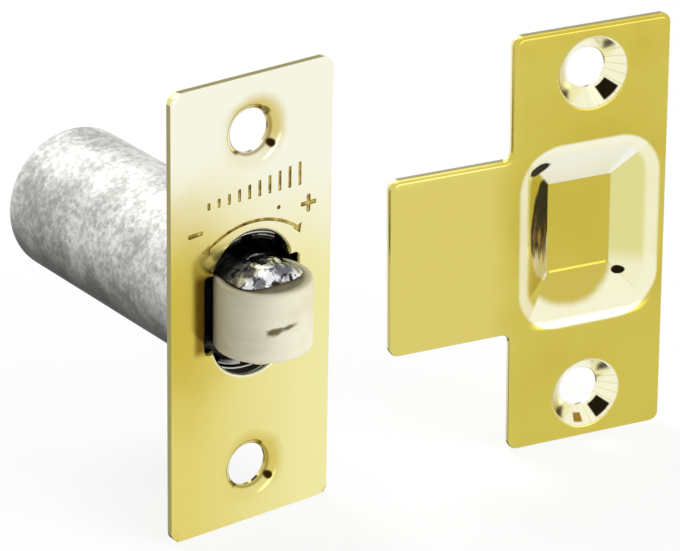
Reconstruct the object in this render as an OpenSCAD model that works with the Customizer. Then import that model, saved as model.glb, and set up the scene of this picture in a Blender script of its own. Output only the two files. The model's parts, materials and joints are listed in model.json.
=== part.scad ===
/* [Faceplate] */
// Width of the faceplate
plate_w = 25.4; // [24.6:0.2:32]
// Height of the faceplate
plate_h = 63.5; // [60:0.5:80]
// Thickness of the faceplate's sheet
plate_t = 1.2; // [1:0.1:1.6]
// Radius of the faceplate's corners
plate_corner = 1.6; // [0.6:0.2:4]
// Distance between the faceplate's two screw holes
plate_screw_pitch = 47.9; // [46:0.5:50]
// Diameter of the faceplate's screw holes
plate_hole_d = 6; // [4:0.2:6.6]
// Diameter of the faceplate's countersinks at the face
plate_sink_d = 8; // [7.6:0.2:9.4]
// Depth of the faceplate's countersinks
plate_sink_depth = 1.05; // [0.6:0.05:1.4]

/* [Faceplate window] */
// Width of the round-ended slot in the faceplate
window_slot_w = 12.6; // [11:0.2:13.4]
// Room for a screwdriver's tip between the fork and the end of the slot
tool_gap = 3.1; // [2:0.05:3.1]
// Radius of the window's corners beside the roller
window_corner = 0.4; // [0.2:0.1:0.8]

/* [Case tube] */
// Outside diameter of the case tube, for a 21 mm hole in the door's edge
case_d = 20.6; // [20.2:0.1:22.4]
// Wall of the case tube
case_wall = 0.9; // [0.7:0.05:1]
// Length of the case tube behind the faceplate
case_l = 42.5; // [39:0.5:60]
// Radius round the case tube's closed end
case_end_r = 2; // [1.2:0.1:4]
// Width of the turned-out foot that is welded to the faceplate
foot_w = 0.35; // [0.1:0.05:0.5]
// Thickness of that foot
foot_t = 0.8; // [0.4:0.1:1.2]

/* [Roller] */
// Diameter of the nylon roller
roller_d = 13; // [12:0.1:13.6]
// Height of the roller along its axle
roller_h = 9.6; // [9:0.1:10.6]
// How far the roller stands out of the faceplate at rest
roller_out = 8.8; // [7.5:0.1:10.5]
// Rounding of the roller's two rims
roller_rim = 0.45; // [0.2:0.05:1]
// Diameter of the axle pin
axle_d = 3; // [2.4:0.1:3.6]
// Diameter of the axle pin's riveted heads
axle_head_d = 4.4; // [4:0.1:4.8]
// Height of a riveted head
axle_head_h = 0.4; // [0.2:0.05:0.5]

/* [Roller fork] */
// Diameter of the round fork, and of the thread along it
fork_d = 14; // [13.8:0.1:14.4]
// How far the fork's nose reaches in front of the axle
fork_nose = 3.6; // [3.2:0.1:5.8]
// Rounding of the fork's nose
fork_nose_r = 2.4; // [1:0.1:4]
// Threaded length behind the roller's slot
fork_shank_l = 9.3; // [6:0.1:12]

/* [Adjusting sleeve] */
// How far the fork can be screwed in, and also out, from its place at rest
adjust_travel = 1.5; // [0.5:0.1:1.8]
// Room left in the sleeve behind the fork when it is screwed fully in
sleeve_room = 0.45; // [0.2:0.05:1]
// Number of notches in the sleeve's front rim
notch_count = 10; // [4:1:14]
// Width of a notch
notch_w = 1.8; // [1:0.1:2.4]
// Depth of a notch
notch_depth = 1.4; // [0.8:0.1:2.4]

/* [Spring] */
// Thickness of the spring follower's flange
follower_t = 1.4; // [1:0.1:2.5]
// Length of the follower's spigot inside the spring
follower_spigot_l = 2.6; // [1.5:0.1:5]
// Diameter of the spring's wire
wire_d = 1.3; // [0.8:0.05:1.5]
// Mean diameter of the spring's coils
coil_d = 14.6; // [12:0.2:16]
// Open turns of the spring, between the closed end turns
coil_turns = 7; // [4:1:9]

/* [Strike plate] */
// Width of the strike's upright plate
strike_w = 23.4; // [23:0.2:32]
// Height of the strike's upright plate
strike_h = 61.5; // [61:0.5:80]
// Thickness of the strike's sheet
strike_t = 1.2; // [0.8:0.1:1.6]
// Radius of the strike's outer corners
strike_corner = 1.4; // [0.6:0.1:3]
// Width of the lip that stands out to one side
lip_w = 18; // [8:0.5:30]
// Height of the lip
lip_h = 26; // [16:0.5:40]
// Height of the lip's middle above the middle of the plate
lip_z = 0.2; // [-4:0.2:4]
// Radius of the two inner corners beside the lip
lip_fillet = 1.3; // [0.5:0.1:4]
// Distance between the strike's two screw holes
strike_screw_pitch = 48; // [46:0.5:50]
// Diameter of the strike's screw holes
strike_hole_d = 5.8; // [4:0.2:6]
// Diameter of the strike's countersinks at the face
strike_sink_d = 10.2; // [8:0.2:11]
// Depth of the strike's countersinks
strike_sink_depth = 2.3; // [1.6:0.1:2.8]

/* [Strike pocket] */
// Width of the pocket's mouth, to the outside of its rolled rim
pocket_w = 21.4; // [18:0.2:22.2]
// Height of the pocket's mouth
pocket_h = 27.6; // [22:0.2:28]
// Width of the pocket's flat floor
pocket_floor_w = 9.3; // [6:0.2:11]
// Height of the pocket's flat floor
pocket_floor_h = 13.2; // [11:0.2:15]
// Height of the pocket's middle above the middle of the plate
pocket_z = 0.5; // [-1:0.1:1]
// Depth of the pocket below the strike's face
pocket_depth = 3.4; // [3.1:0.1:5.5]
// Radius of the rolled rim
pocket_roll_r = 2.8; // [1.8:0.1:3.1]
// Corner radius of the pocket's mouth
pocket_corner = 3.8; // [1.5:0.1:5]
// Corner radius of the pocket's floor
pocket_floor_corner = 0.6; // [0.2:0.1:2]

/* [Layout] */
// Gap between the faceplate's edge and the end of the strike's lip
strike_gap = 10; // [2:0.5:60]
// How far the lip's end lies below the middle of the faceplate
strike_drop = 1.8; // [-10:0.2:10]
// How far the strike is turned to face the faceplate's front
strike_turn = 14; // [0:0.2:40]
// How far the strike leans in its own plane
strike_lean = 1.5; // [-5:0.1:5]

/* [Hidden] */
$fn = 96;
// clearances
slide_gap = 0.2;    // sleeve in the case, roller in the sleeve's mouth
window_gap = 0.9;   // faceplate's window beside the roller
window_rise = 0.5;  // the same window above and below it
end_gap = 0.15;     // roller between the fork's arms
slot_gap = 0.5;     // roller in front of the bottom of the fork's slot
mouth_gap = 0.4;    // roller in front of the sleeve's inner step, with the fork screwed in
pin_gap = 0.05;     // axle pin in the roller
thread_gap = 0.08;  // fork's shank in the sleeve
stop_gap = 0.25;    // sleeve behind the faceplate
turn_gap = 0.1;     // sleeve on its follower
spring_gap = 0.05;  // spring at its two seats
coil_gap = 0.06;    // between the two turns of a closed end
over = 1;           // how far a cut runs past a face
// roller and its axle
roller_r = roller_d / 2;
axle_y = -plate_t - roller_out + roller_r;
head_seat = 0.3;    // depth of the flat under each riveted head, at its middle
head_crown = 0.7;   // a riveted head's top, as a share of its foot
axle_seat = fork_d / 2 - head_seat;
// window in the faceplate
window_w = roller_d + 2 * window_gap;
window_h = roller_h + 2 * window_rise;
slot_end = fork_d / 2 + tool_gap;
slot_centre = slot_end - window_slot_w / 2;
// fork
fork_r = fork_d / 2;
slot_h = roller_h + 2 * end_gap;
slot_floor = axle_y + roller_r + slot_gap;
nose_y = axle_y - fork_nose;
shank_end = slot_floor + fork_shank_l;
// case and sleeve
case_r = case_d / 2;
bore_r = case_r - case_wall;
sleeve_r = bore_r - slide_gap;
mouth_r = norm([roller_r, roller_h / 2]) + slide_gap;
mouth_floor = axle_y + roller_r + adjust_travel + mouth_gap;
sleeve_end = shank_end + adjust_travel + sleeve_room;
// spring and its follower
follower_y = sleeve_end + turn_gap;
follower_back = follower_y + follower_t;
coil_r = coil_d / 2;
spigot_r = coil_r - wire_d / 2 - slide_gap;
spring_from = follower_back + spring_gap + wire_d / 2;
spring_to = case_l - case_wall - spring_gap - wire_d / 2;
end_rise = wire_d + coil_gap;
wire_sides = 8;
steps_per_turn = 22;
// screw holes: plain wall behind the countersink, soft edge at the face, ring behind the sheet
hole_land = 0.45;
rim_soft = 0.35;
rim_drop = 0.25;
ring_wall = 0.7;    // as a share of the sheet's thickness
// strike's pocket: inset from the mouth to the floor, and the angle of its walls
inset_x = (pocket_w - pocket_floor_w) / 2;
inset_z = (pocket_h - pocket_floor_h) / 2;
wall_a = atan((pocket_depth - pocket_roll_r) / inset_x)
    + asin(pocket_roll_r / norm([inset_x, pocket_depth - pocket_roll_r]));
roll_steps = 8;
corner_steps = 10;

// turns a profile about the case's axis: x is the radius, y runs from front to back
module turned() {
    rotate([-90, 0, 0]) rotate_extrude() children();
}

// draws a flat outline in the plate's plane and gives it a thickness towards the back
module sheet(from, to) {
    translate([0, to, 0]) rotate([90, 0, 0]) linear_extrude(to - from) children();
}

// a rectangle with round corners, about its middle
module round_rect(w, h, r) {
    square([w - 2 * r, h], center = true);
    square([w, h - 2 * r], center = true);
    for (x = [-1, 1], y = [-1, 1])
        translate([x * (w / 2 - r), y * (h / 2 - r)]) circle(r);
}

// half the section of a round plug whose back edge is rounded
module plug_profile(r, from, to, edge) {
    intersection() {
        translate([0, from]) square([r, to - from]);
        union() {
            translate([0, from]) square([r, to - from - edge]);
            translate([0, from]) square([r - edge, to - from]);
            translate([r - edge, to - edge]) circle(edge);
        }
    }
}

// half the section of a countersunk hole, cut from the face at y = 0
module sink_profile(hole_r, sink_r, depth, through) {
    polygon([[0, -over], [sink_r + rim_soft, -over], [sink_r + rim_soft, 0],
        [sink_r - rim_soft, rim_drop], [hole_r, depth], [hole_r, through], [0, through]]);
}

// half the section of the raised ring that the countersink pushes out behind the sheet
module dimple_profile(hole_r, sink_r, depth, t) {
    polygon([[0, t / 2], [sink_r, t / 2], [sink_r, t], [hole_r + t * ring_wall, depth + hole_land],
        [0, depth + hole_land]]);
}

module faceplate() {
    color("#d9c566") difference() {
        union() {
            sheet(-plate_t, 0) round_rect(plate_w, plate_h, plate_corner);
            for (z = [-1, 1])
                translate([0, -plate_t, z * plate_screw_pitch / 2]) turned()
                    dimple_profile(plate_hole_d / 2, plate_sink_d / 2, plate_sink_depth, plate_t);
        }
        for (z = [-1, 1])
            translate([0, -plate_t, z * plate_screw_pitch / 2]) turned()
                sink_profile(plate_hole_d / 2, plate_sink_d / 2, plate_sink_depth,
                    plate_sink_depth + hole_land + over);
        sheet(-plate_t - over, over) window();
    }
}

// outline of the window: a round-ended slot for the tool, widened beside the roller
module window() {
    round_rect(window_w, window_h, window_corner);
    square([window_slot_w, 2 * slot_centre], center = true);
    for (z = [-1, 1])
        translate([0, z * slot_centre]) circle(d = window_slot_w);
}

module case_tube() {
    color("#b9bbb8") turned() difference() {
        union() {
            plug_profile(case_r, 0, case_l, case_end_r);
            square([case_r + foot_w, foot_t]);
        }
        translate([0, -over])
            plug_profile(bore_r, 0, case_l - case_wall + over, case_end_r - case_wall);
    }
}

module roller() {
    color("#d8d3b8") translate([0, axle_y, 0]) rotate_extrude() {
        bore = axle_d / 2 + pin_gap;
        half = roller_h / 2;
        translate([bore, -half]) square([roller_r - roller_rim - bore, roller_h]);
        translate([bore, -half + roller_rim]) square([roller_r - bore, roller_h - 2 * roller_rim]);
        for (z = [-1, 1])
            translate([roller_r - roller_rim, z * (half - roller_rim)]) circle(roller_rim);
    }
}

module axle_pin() {
    color("#c9cbcc") translate([0, axle_y, 0]) {
        cylinder(d = axle_d, h = 2 * axle_seat, center = true);
        for (side = [0, 1])
            mirror([0, 0, side]) translate([0, 0, axle_seat]) {
                cylinder(d = axle_head_d, h = axle_head_h / 2);
                translate([0, 0, axle_head_h / 2])
                    cylinder(d1 = axle_head_d, d2 = axle_head_d * head_crown, h = axle_head_h / 2);
            }
    }
}

module roller_fork() {
    color("#a9abad") difference() {
        // round bar with a rounded edge to its nose
        turned() translate([0, shank_end]) mirror([0, 1])
            plug_profile(fork_r, 0, shank_end - nose_y, fork_nose_r);
        // slot for the roller
        translate([-fork_r - over, nose_y - over, -slot_h / 2])
            cube([2 * (fork_r + over), slot_floor - nose_y + over, slot_h]);
        // hole for the axle pin, with a flat for each riveted head
        translate([0, axle_y, 0]) cylinder(d = axle_d, h = 2 * (fork_r + over), center = true);
        for (side = [0, 1])
            mirror([0, 0, side]) translate([0, axle_y, axle_seat])
                cylinder(d = axle_head_d, h = over);
    }
}

module adjusting_sleeve() {
    color("#8f9294") difference() {
        turned() difference() {
            translate([0, stop_gap]) square([sleeve_r, sleeve_end - stop_gap]);
            translate([0, -over]) square([fork_r + thread_gap, sleeve_end + 2 * over]);
            translate([0, -over]) square([mouth_r, mouth_floor + over]);
        }
        for (i = [0:notch_count - 1])
            rotate([0, i * 360 / notch_count, 0])
                translate([-notch_w / 2, stop_gap - over, mouth_r - over])
                    cube([notch_w, notch_depth + over, sleeve_r - mouth_r + 2 * over]);
    }
}

module spring_follower() {
    color("#9a9c96") turned() difference() {
        union() {
            translate([0, follower_y]) square([sleeve_r, follower_t]);
            translate([0, follower_back]) square([spigot_r, follower_spigot_l]);
        }
        translate([0, follower_back]) square([spigot_r - follower_t, follower_spigot_l + over]);
    }
}

// distance along the spring at a number of turns: closed at both ends, open between
function coil_y(turn) =
    let (open = (spring_to - spring_from - 2 * end_rise) / coil_turns)
    turn < 1 ? spring_from + end_rise * turn
        : turn < 1 + coil_turns ? spring_from + end_rise + open * (turn - 1)
        : spring_to - end_rise * (coil_turns + 2 - turn);

function wire_ring(turn) = [for (k = [0:wire_sides - 1])
    let (a = 360 * k / wire_sides, r = coil_r + wire_d / 2 * cos(a))
    [r * cos(360 * turn), coil_y(turn) + wire_d / 2 * sin(a), r * sin(360 * turn)]];

module return_spring() {
    rings = (coil_turns + 2) * steps_per_turn;
    points = [for (i = [0:rings]) each wire_ring(i / steps_per_turn)];
    sides = [for (i = [0:rings - 1], k = [0:wire_sides - 1])
        let (a = i * wire_sides, b = a + wire_sides, n = (k + 1) % wire_sides)
        [a + k, a + n, b + n, b + k]];
    start = [for (k = [wire_sides - 1:-1:0]) k];
    finish = [for (k = [0:wire_sides - 1]) rings * wire_sides + k];
    color("#7d8084") polyhedron(points, concat([start, finish], sides));
}

// one level of a lofted form: half width, half height, corner radius and depth
function level(w, h, r, y) = [for (c = [0:3], k = [0:corner_steps])
    let (a = 90 * (c + k / corner_steps), side = [[1, 1], [-1, 1], [-1, -1], [1, -1]][c])
    [side[0] * (w - r) + r * cos(a), y, side[1] * (h - r) + r * sin(a)]];

module loft(levels) {
    n = 4 * (corner_steps + 1);
    top = len(levels) - 1;
    sides = [for (i = [0:top - 1], k = [0:n - 1])
        let (a = i * n, b = a + n, m = (k + 1) % n)
        [a + k, a + m, b + m, b + k]];
    first = [for (k = [n - 1:-1:0]) k];
    last = [for (k = [0:n - 1]) top * n + k];
    polyhedron([for (l = levels) each l], concat([first, last], sides));
}

// level of the pocket at a given inset from its mouth, measured across the width
function pocket_level(inset, y) =
    let (part = inset / inset_x)
    level(pocket_w / 2 - inset, pocket_h / 2 - inset_z * part,
        pocket_corner + (pocket_floor_corner - pocket_corner) * part, y);

// rolled rim, sloped walls and floor, at a distance behind the strike's face
function pocket_levels(behind) = [
    for (i = [0:roll_steps])
        let (a = wall_a * i / roll_steps, r = pocket_roll_r - behind)
        pocket_level(r * sin(a), pocket_roll_r - r * cos(a)),
    pocket_level(inset_x - behind * tan(wall_a / 2), pocket_depth + behind)];

// outline of the strike: an upright plate with a lip on its left
module strike_flat() {
    left = -strike_w / 2;
    difference() {
        union() {
            round_rect(strike_w, strike_h, strike_corner);
            translate([left - lip_w, lip_z - lip_h / 2 + strike_corner])
                square([lip_w + strike_corner * 2, lip_h - 2 * strike_corner]);
            translate([left - lip_w + strike_corner, lip_z - lip_h / 2])
                square([lip_w + strike_corner, lip_h]);
            for (z = [-1, 1]) {
                translate([left - lip_w + strike_corner, lip_z + z * (lip_h / 2 - strike_corner)])
                    circle(strike_corner);
                translate([left - lip_fillet / 2, lip_z + z * (lip_h / 2 + lip_fillet / 2)])
                    square(lip_fillet, center = true);
            }
        }
        for (z = [-1, 1])
            translate([left - lip_fillet, lip_z + z * (lip_h / 2 + lip_fillet)]) circle(lip_fillet);
    }
}

// the strike in its own frame: face at y = 0, middle of the upright plate at the origin
module strike_body() {
    difference() {
        union() {
            sheet(0, strike_t) strike_flat();
            translate([0, 0, pocket_z])
                loft(concat([pocket_level(0, strike_t / 2)], pocket_levels(strike_t)));
            for (z = [-1, 1])
                translate([0, 0, z * strike_screw_pitch / 2]) turned()
                    dimple_profile(strike_hole_d / 2, strike_sink_d / 2, strike_sink_depth, strike_t);
        }
        translate([0, 0, pocket_z]) loft(concat([pocket_level(0, -over)], pocket_levels(0)));
        for (z = [-1, 1])
            translate([0, 0, z * strike_screw_pitch / 2]) turned()
                sink_profile(strike_hole_d / 2, strike_sink_d / 2, strike_sink_depth,
                    strike_sink_depth + hole_land + over);
    }
}

module strike_plate() {
    color("#d2b84e") translate([plate_w / 2 + strike_gap, -plate_t, -strike_drop])
        rotate([0, 0, -strike_turn]) rotate([0, -strike_lean, 0])
            translate([lip_w + strike_w / 2, 0, 0]) strike_body();
}

faceplate();
case_tube();
strike_plate();
roller();
axle_pin();
roller_fork();
adjusting_sleeve();
spring_follower();
return_spring();
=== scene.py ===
import json
import math

import bmesh
import bpy
from mathutils import Matrix, Vector

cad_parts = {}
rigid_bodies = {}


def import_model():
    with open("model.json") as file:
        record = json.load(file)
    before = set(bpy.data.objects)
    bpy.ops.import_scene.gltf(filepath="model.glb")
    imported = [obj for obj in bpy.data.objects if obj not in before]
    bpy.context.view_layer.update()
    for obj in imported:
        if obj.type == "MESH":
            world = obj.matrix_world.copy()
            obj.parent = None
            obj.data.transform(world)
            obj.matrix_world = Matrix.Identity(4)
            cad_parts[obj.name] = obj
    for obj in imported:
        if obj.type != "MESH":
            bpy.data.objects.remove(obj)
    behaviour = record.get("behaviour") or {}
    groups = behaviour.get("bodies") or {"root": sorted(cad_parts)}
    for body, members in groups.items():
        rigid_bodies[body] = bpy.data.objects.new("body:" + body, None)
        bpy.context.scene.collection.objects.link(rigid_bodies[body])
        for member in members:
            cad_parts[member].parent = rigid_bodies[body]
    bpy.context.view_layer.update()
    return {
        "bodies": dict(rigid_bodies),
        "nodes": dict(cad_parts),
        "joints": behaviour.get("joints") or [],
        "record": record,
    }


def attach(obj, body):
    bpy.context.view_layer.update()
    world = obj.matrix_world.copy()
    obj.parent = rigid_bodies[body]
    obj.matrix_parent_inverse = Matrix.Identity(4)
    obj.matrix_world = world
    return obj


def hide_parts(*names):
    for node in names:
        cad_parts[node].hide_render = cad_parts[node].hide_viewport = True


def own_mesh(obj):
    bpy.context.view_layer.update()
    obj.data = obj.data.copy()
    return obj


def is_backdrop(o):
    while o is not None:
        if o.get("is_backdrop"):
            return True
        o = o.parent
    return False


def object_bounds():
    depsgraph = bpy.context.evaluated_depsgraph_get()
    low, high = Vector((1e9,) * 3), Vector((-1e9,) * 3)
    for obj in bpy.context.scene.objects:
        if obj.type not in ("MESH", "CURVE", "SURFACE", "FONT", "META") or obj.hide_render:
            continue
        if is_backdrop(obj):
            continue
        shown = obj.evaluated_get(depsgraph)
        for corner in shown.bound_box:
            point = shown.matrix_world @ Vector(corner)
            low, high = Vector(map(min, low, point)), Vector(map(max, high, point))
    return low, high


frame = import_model()
print("frame loaded:", ", ".join(sorted(frame["nodes"])))

mm = 0.001
near = 0.000001   # places closer than this count as one
upright = (math.pi / 2, 0, 0)   # stands a flat primitive in the plates' plane


# camera: stands left of the catch and above it, as in the photo

cameraPlace = {
    "spot": (-251.055, -344.79, 199.568),   # mm
    "turn": (65.3287, -0.9549, -37.2338),    # degrees
    "lens": 191.586,
}

camera = bpy.data.objects.new("camera", bpy.data.cameras.new("camera"))
bpy.context.scene.collection.objects.link(camera)
camera.data.sensor_width = 36
camera.data.lens = cameraPlace["lens"]
camera.data.clip_start = 0.01
camera.location = Vector(cameraPlace["spot"]) * mm
camera.rotation_euler = [math.radians(a) for a in cameraPlace["turn"]]
bpy.context.scene.camera = camera
bpy.context.scene.view_settings.view_transform = "Standard"


# shader maths: an expression on these adds its nodes

class Value:
    def __init__(self, shader, socket):
        self.shader = shader
        self.socket = socket

    def maths(self, kind, *others):
        return self.shader.node("Math", dict(enumerate((self, *others))), operation=kind)

    def __add__(self, other):
        return self.maths("ADD", other)

    def __sub__(self, other):
        return self.maths("SUBTRACT", other)

    def __rsub__(self, other):
        return self.shader.node("Math", {0: other, 1: self}, operation="SUBTRACT")

    def __mul__(self, other):
        return self.maths("MULTIPLY", other)

    def __truediv__(self, other):
        return self.maths("DIVIDE", other)

    def __pow__(self, other):
        return self.maths("POWER", other)

    def __abs__(self):
        return self.maths("ABSOLUTE")

    __radd__ = __add__
    __rmul__ = __mul__

    def smooth(self, low, high):
        # 0 below low, 1 above high, with a soft step between; falls where low is the larger one
        return self.shader.node("MapRange", {"Value": self, "From Min": low, "From Max": high},
            interpolation_type="SMOOTHSTEP")


class Shader:
    def __init__(self, tree, finish=None):
        self.tree = tree
        self.finish = finish
        self.point = None
        for old in list(tree.nodes):
            tree.nodes.remove(old)

    def node(self, kind, inputs=None, output=0, **settings):
        made = self.tree.nodes.new("ShaderNode" + kind)
        for key, value in settings.items():
            setattr(made, key, value)
        for key, value in (inputs or {}).items():
            plug = made.inputs[key]
            if isinstance(value, Value):
                self.tree.links.new(value.socket, plug)
            elif plug.type == "RGBA":
                plug.default_value = (*value, 1)
            else:
                plug.default_value = value
        return Value(self, made.outputs[output]) if made.outputs else None

    def place(self):
        # the shaded point, made at the first call
        self.point = self.point or self.node("TexCoord", output="Object")
        return self.point

    def parts(self, **frame):
        # x, y and z in mm, or as seen in a frame with a location and rotation of its own
        place = self.place()
        if frame:
            place = self.node("Mapping", {"Vector": place, **frame}, vector_type="TEXTURE")
        outputs = self.node("SeparateXYZ", {0: place}).socket.node.outputs
        return [Value(self, outputs[i]) / mm for i in range(3)]

    def clouds(self, scale, detail, rough, bend=0.0, vector=None):
        return self.node("TexNoise", {"Vector": vector or self.place(), "Scale": scale, "Detail": detail,
            "Roughness": rough, "Distortion": bend})

    def streaks(self, scale, detail, rough):
        # clouds with a scale of their own along each axis
        drawn = self.node("Mapping", {"Vector": self.place(), "Scale": scale})
        return self.clouds(1, detail, rough, vector=drawn)

    def blend(self, share, first, second):
        return self.node("Mix", {0: share, 6: first, 7: second}, 2, data_type="RGBA")

    def layers(self, colour, *coats):
        # lays each coat over what is there already, by its share
        for share, coat in coats:
            colour = self.blend(share, colour, coat)
        return colour

    def relief(self, height, depth, strength):
        return self.node("Bump", {"Height": height, "Distance": depth, "Strength": strength})

    def close(self, colour, rough, relief=None, metal=1.0):
        sockets = {"Base Color": colour, "Roughness": rough, "Metallic": metal}
        if relief:
            sockets["Normal"] = relief
        self.node("OutputMaterial", {"Surface": self.node("BsdfPrincipled", sockets)})
        return self.finish


def newFinish(name):
    finish = bpy.data.materials.new(name)
    finish.use_nodes = True
    return Shader(finish.node_tree, finish)


# hands for modelling

def metres(*sizes):
    return [size * mm for size in sizes]


def clearPick():
    for thing in bpy.context.scene.objects:
        thing.select_set(False)


def take(thing):
    clearPick()
    thing.select_set(True)
    bpy.context.view_layer.objects.active = thing


def settle(name):
    # names the primitive just added and puts its place into its mesh
    thing = bpy.context.object
    thing.name = name
    thing.data.name = name
    bpy.ops.object.transform_apply()
    return thing


def everything():
    bpy.ops.mesh.select_all(action="SELECT")


def edit():
    bpy.ops.object.mode_set(mode="EDIT")
    everything()


def done():
    bpy.ops.object.mode_set(mode="OBJECT")


def pick(kind, test):
    # selects points, edges or faces of the mesh in hand by their place
    bpy.ops.mesh.select_mode(type={"verts": "VERT", "edges": "EDGE", "faces": "FACE"}[kind])
    bpy.ops.mesh.select_all(action="DESELECT")
    shape = bmesh.from_edit_mesh(bpy.context.object.data)
    for item in getattr(shape, kind):
        if test(item):
            item.select_set(True)
    bmesh.update_edit_mesh(bpy.context.object.data)


def middle(edgeOrFace):
    points = [v.co for v in edgeOrFace.verts]
    return sum(points, Vector()) / len(points)


def isOpen(e):
    return len(e.link_faces) == 1


def extrude(way):
    bpy.ops.mesh.extrude_region_move(TRANSFORM_OT_translate={"value": way})


def resize(size, centre):
    bpy.ops.transform.resize(value=size, center_override=centre)


def roundCorners(corner, steps):
    bpy.ops.mesh.bevel(offset=corner * mm, segments=steps, affect="VERTICES")


def mend(merge=0):
    # merges points closer than this, turns all faces outwards and leaves the mesh
    everything()
    if merge:
        bpy.ops.mesh.remove_doubles(threshold=merge * mm)
        bpy.ops.mesh.delete_loose()
        everything()
    bpy.ops.mesh.normals_make_consistent()
    done()


def block(name, sizes, spot=(0, 0, 0)):
    clearPick()
    bpy.ops.mesh.primitive_cube_add(size=1, location=metres(*spot))
    bpy.context.object.scale = metres(*sizes)
    return settle(name)


def rod(name, radius, length, sides, spot=(0, 0, 0), turn=(0, 0, 0)):
    clearPick()
    bpy.ops.mesh.primitive_cylinder_add(vertices=sides, radius=radius * mm, depth=length * mm,
        location=metres(*spot), rotation=turn)
    return settle(name)


def panel(name, width, height, depth):
    # a rectangle in the plates' plane, left open for editing
    clearPick()
    bpy.ops.mesh.primitive_plane_add(size=1, location=(0, depth * mm, 0), rotation=upright)
    bpy.context.object.scale = (width * mm, height * mm, 1)
    thing = settle(name)
    edit()
    return thing


def useModifier(thing, kind, **settings):
    take(thing)
    made = thing.modifiers.new(kind.title(), kind)
    for key, value in settings.items():
        setattr(made, key, value)
    bpy.ops.object.modifier_apply(modifier=made.name)


def cutAway(thing, cutter):
    useModifier(thing, "BOOLEAN", object=cutter, solver="EXACT")
    bpy.data.objects.remove(cutter)


def soften(thing, width, steps):
    useModifier(thing, "BEVEL", width=width * mm, segments=steps,
        angle_limit=math.radians(50), miter_outer="MITER_ARC")


def smooth(thing, angle):
    take(thing)
    bpy.ops.object.shade_smooth_by_angle(angle=math.radians(angle))
    useModifier(thing, "WEIGHTED_NORMAL", weight=60, keep_sharp=True)


def dress(thing, finish, body, node):
    thing.data.materials.clear()
    thing.data.materials.append(finish)
    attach(thing, body)
    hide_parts(node)
    print("made", thing.name, len(thing.data.polygons), "faces")


def arc(centre, radius, start, end, steps):
    # points of an arc in a half section: angles in degrees, 0 away from the axis, 90 towards the back
    angles = [math.radians(start + (end - start) * i / steps) for i in range(steps + 1)]
    return [(centre[0] + radius * math.cos(a), centre[1] + radius * math.sin(a)) for a in angles]


def draw(section, along, centre):
    # draws the circle in hand along a section: (radius, distance along the axis) in mm
    radius, place = section[0]
    for nextRadius, nextPlace in section[1:]:
        extrude(along * (nextPlace - place) * mm)
        if nextRadius != radius:
            share = nextRadius / radius
            resize([1 if a else share for a in along], centre + along * nextPlace * mm)
        radius, place = nextRadius, nextPlace


def turnOnLathe(name, section, axis="Y", centre=(0, 0, 0), around=128, ring=False):
    # a ring's section joins its end to its start
    along = Vector((0, 1, 0)) if axis == "Y" else Vector((0, 0, 1))
    centre = Vector(centre) * mm
    thin = 0.001   # mm, a tip before its points are merged
    section = [(max(radius, thin), place) for radius, place in section + (section[:1] if ring else [])]
    radius, place = section[0]
    clearPick()
    bpy.ops.mesh.primitive_circle_add(vertices=around, radius=radius * mm,
        fill_type="NOTHING" if ring else "NGON", location=centre + along * place * mm,
        rotation=upright if axis == "Y" else (0, 0, 0))
    thing = settle(name)
    edit()
    draw(section, along, centre)
    mend(0.003)
    return thing


def loopRect(width, height, corner, depth, steps, at=(0, 0)):
    # adds a round-cornered outline to the mesh in hand, parallel to the plates' faces
    centre = metres(at[0], depth, at[1])
    pick("verts", lambda v: False)
    bpy.ops.mesh.primitive_plane_add(size=1, location=centre, rotation=upright)
    resize((width * mm, 1, height * mm), centre)
    roundCorners(corner, steps)
    pick("faces", lambda f: len(f.verts) == 4 * (steps + 1))
    bpy.ops.mesh.delete(type="ONLY_FACE")


def sinkSection(sizes):
    # (radius, depth) from the flat face over a soft lip, down the cone and along the plain wall
    hole, depth, lip = sizes["hole"] / 2, sizes["sinkDepth"], sizes["lip"]
    start = sizes["sink"] / 2 + sizes["lipSpread"]
    slope = math.atan2(depth - lip * 0.3, start - lip * 0.68 - hole)   # the cone, tangent to the lip
    angles = [slope * i / 5 for i in range(6)]
    soft = [(start - lip * math.sin(a), lip * (1 - math.cos(a))) for a in angles]
    return soft + [(hole, depth), (hole, depth + sizes["holeWall"])]


def ringSection(sizes):
    # the same on the back: the ring that the countersink pushes out behind the sheet
    foot, sheet, end = sizes["sink"] / 2, sizes["sheet"], sizes["sinkDepth"] + sizes["holeWall"]
    rim = sizes["hole"] / 2 + 0.7 * sheet
    return [(foot + 0.4, sheet), (foot, sheet + 0.12), (rim + 0.2, end - 0.2), (rim, end - 0.08)]


def addSinks(section, around, pitch):
    # at each screw hole, a circle is drawn in by steps to the hole
    radius, depth = section[0]
    for z in (pitch / 2, -pitch / 2):
        bpy.ops.mesh.select_all(action="DESELECT")
        bpy.ops.mesh.primitive_circle_add(vertices=around, radius=radius * mm,
            location=metres(0, depth, z), rotation=upright)
        draw(section, Vector((0, 1, 0)), Vector((0, 0, z * mm)))


def onFace(e, depth):
    return all(abs(v.co.y - depth * mm) < near for v in e.verts)


def fillFlat(depth):
    # closes the flat face between its outline and the openings in it
    pick("edges", lambda e: len(e.link_faces) < 2 and onFace(e, depth))
    bpy.ops.mesh.fill()


def joinSkins(front, back, places):
    # bridges the skins round each opening, given by its height and reach in mm, and last round the outline
    take(front)
    back.select_set(True)
    bpy.ops.object.join()
    edit()
    for z, reach in places:
        spot = Vector((0, z)) * mm
        pick("edges", lambda e: isOpen(e) and (middle(e).xz - spot).length < reach * mm)
        bpy.ops.mesh.bridge_edge_loops()
    pick("edges", isOpen)
    bpy.ops.mesh.bridge_edge_loops()
    mend(0.0005)
    return front


# brass faceplate

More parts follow.
